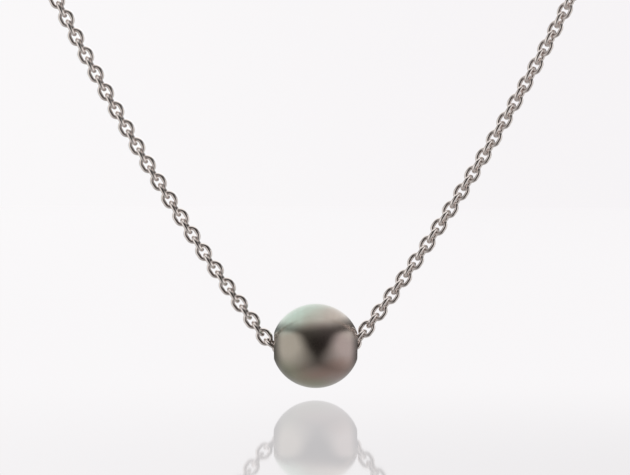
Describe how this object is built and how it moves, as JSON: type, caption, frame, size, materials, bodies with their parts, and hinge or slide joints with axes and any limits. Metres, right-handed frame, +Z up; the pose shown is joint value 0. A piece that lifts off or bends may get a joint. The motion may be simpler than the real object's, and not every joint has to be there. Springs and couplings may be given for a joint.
{
  "type": "pearl necklace",
  "caption": "Single dark pearl strung on a fine round cable chain, closed by a spring-ring clasp; the pearl turns on the chain and the strands fold.",
  "frame": {"origin": "highest point of the round neck or display form, under the middle of the clasp, in the chain's plane", "axes": "+Z up, against the pearl's pull; +X to the right as the necklace is seen from the front, along the pearl's bore; +Y away from a viewer who faces the pearl"},
  "size_m": [0.1123, 0.011, 0.1692],
  "materials": {
    "chain_metal": "polished",
    "clasp_metal": "polished",
    "spring_steel": "satin",
    "nacre": "gloss",
    "shell_bead": "satin"
  },
  "bodies": {
    "neck_chain": {"left_neck_1": "chain_metal", "left_neck_2": "chain_metal", "left_neck_3": "chain_metal", "right_neck_1": "chain_metal", "right_neck_2": "chain_metal", "right_neck_3": "chain_metal", "clasp_jump_ring": "clasp_metal", "clasp_tail_loop": "clasp_metal", "clasp_tube": "clasp_metal", "clasp_spring": "spring_steel", "end_ring": "clasp_metal"},
    "clasp_bolt": {"clasp_bolt": "clasp_metal"},
    "left_strand_1": {"left_strand_1": "chain_metal"},
    "right_strand_1": {"right_strand_1": "chain_metal"},
    "left_strand_2": {"left_strand_2": "chain_metal"},
    "right_strand_2": {"right_strand_2": "chain_metal"},
    "left_strand_3": {"left_strand_3": "chain_metal"},
    "right_strand_3": {"right_strand_3": "chain_metal"},
    "left_strand_4": {"left_strand_4": "chain_metal"},
    "right_strand_4": {"right_strand_4": "chain_metal"},
    "left_strand_5": {"left_strand_5": "chain_metal"},
    "right_strand_5": {"right_strand_5": "chain_metal"},
    "left_strand_6": {"left_strand_6": "chain_metal"},
    "right_strand_6": {"right_strand_6": "chain_metal"},
    "pearl_run": {"pearl_run": "chain_metal"},
    "pearl": {"pearl_nacre": "nacre", "pearl_nucleus": "shell_bead"}
  },
  "joints": [
    {"name": "left_fold_1", "type": "hinge", "parent": "neck_chain", "child": "left_strand_1", "pos_m": [-0.04931, 0, -0.07965], "axis": [1, 0, 0], "range_deg": [-24, 24]},
    {"name": "right_fold_1", "type": "hinge", "parent": "neck_chain", "child": "right_strand_1", "pos_m": [0.04931, 0, -0.07965], "axis": [1, 0, 0], "range_deg": [-24, 24]},
    {"name": "left_fold_2", "type": "hinge", "parent": "left_strand_1", "child": "left_strand_2", "pos_m": [-0.04348, 0, -0.09337], "axis": [1, 0, 0], "range_deg": [-24, 24]},
    {"name": "right_fold_2", "type": "hinge", "parent": "right_strand_1", "child": "right_strand_2", "pos_m": [0.04348, 0, -0.09337], "axis": [1, 0, 0], "range_deg": [-24, 24]},
    {"name": "left_fold_3", "type": "hinge", "parent": "left_strand_2", "child": "left_strand_3", "pos_m": [-0.03723, 0, -0.1069], "axis": [1, 0, 0], "range_deg": [-24, 24]},
    {"name": "right_fold_3", "type": "hinge", "parent": "right_strand_2", "child": "right_strand_3", "pos_m": [0.03723, 0, -0.1069], "axis": [1, 0, 0], "range_deg": [-24, 24]},
    {"name": "left_fold_4", "type": "hinge", "parent": "left_strand_3", "child": "left_strand_4", "pos_m": [-0.0305, 0, -0.12019], "axis": [1, 0, 0], "range_deg": [-24, 24]},
    {"name": "right_fold_4", "type": "hinge", "parent": "right_strand_3", "child": "right_strand_4", "pos_m": [0.0305, 0, -0.12019], "axis": [1, 0, 0], "range_deg": [-24, 24]},
    {"name": "left_fold_5", "type": "hinge", "parent": "left_strand_4", "child": "left_strand_5", "pos_m": [-0.02321, 0, -0.13319], "axis": [1, 0, 0], "range_deg": [-24, 24]},
    {"name": "right_fold_5", "type": "hinge", "parent": "right_strand_4", "child": "right_strand_5", "pos_m": [0.02321, 0, -0.13319], "axis": [1, 0, 0], "range_deg": [-24, 24]},
    {"name": "left_fold_6", "type": "hinge", "parent": "left_strand_5", "child": "left_strand_6", "pos_m": [-0.01529, 0, -0.14582], "axis": [1, 0, 0], "range_deg": [-24, 24]},
    {"name": "right_fold_6", "type": "hinge", "parent": "right_strand_5", "child": "right_strand_6", "pos_m": [0.01529, 0, -0.14582], "axis": [1, 0, 0], "range_deg": [-24, 24]},
    {"name": "pearl_swing", "type": "hinge", "parent": "left_strand_6", "child": "pearl_run", "pos_m": [-0.00665, 0, -0.15796], "axis": [1, 0, 0], "range_deg": [-24, 24]},
    {"name": "pearl_spin", "type": "hinge", "parent": "pearl_run", "child": "pearl", "pos_m": [0.00044, 0, -0.15965], "axis": [1, 0, 0], "continuous": true},
    {"name": "clasp_bolt_slide", "type": "hinge", "parent": "neck_chain", "child": "clasp_bolt", "pos_m": [0.00077, 0, 0.0021], "axis": [0, 0, 1], "range_deg": [0, 60], "stiffness_Nm_per_rad": 0.002, "springref_deg": -28.65, "deforming": ["clasp_spring"]}
  ],
  "couplings": [
    {"joint": "right_fold_1", "follows": "left_fold_1", "ratio": 1},
    {"joint": "right_fold_2", "follows": "left_fold_2", "ratio": 1},
    {"joint": "right_fold_3", "follows": "left_fold_3", "ratio": 1},
    {"joint": "right_fold_4", "follows": "left_fold_4", "ratio": 1},
    {"joint": "right_fold_5", "follows": "left_fold_5", "ratio": 1},
    {"joint": "right_fold_6", "follows": "left_fold_6", "ratio": 1}
  ]
}
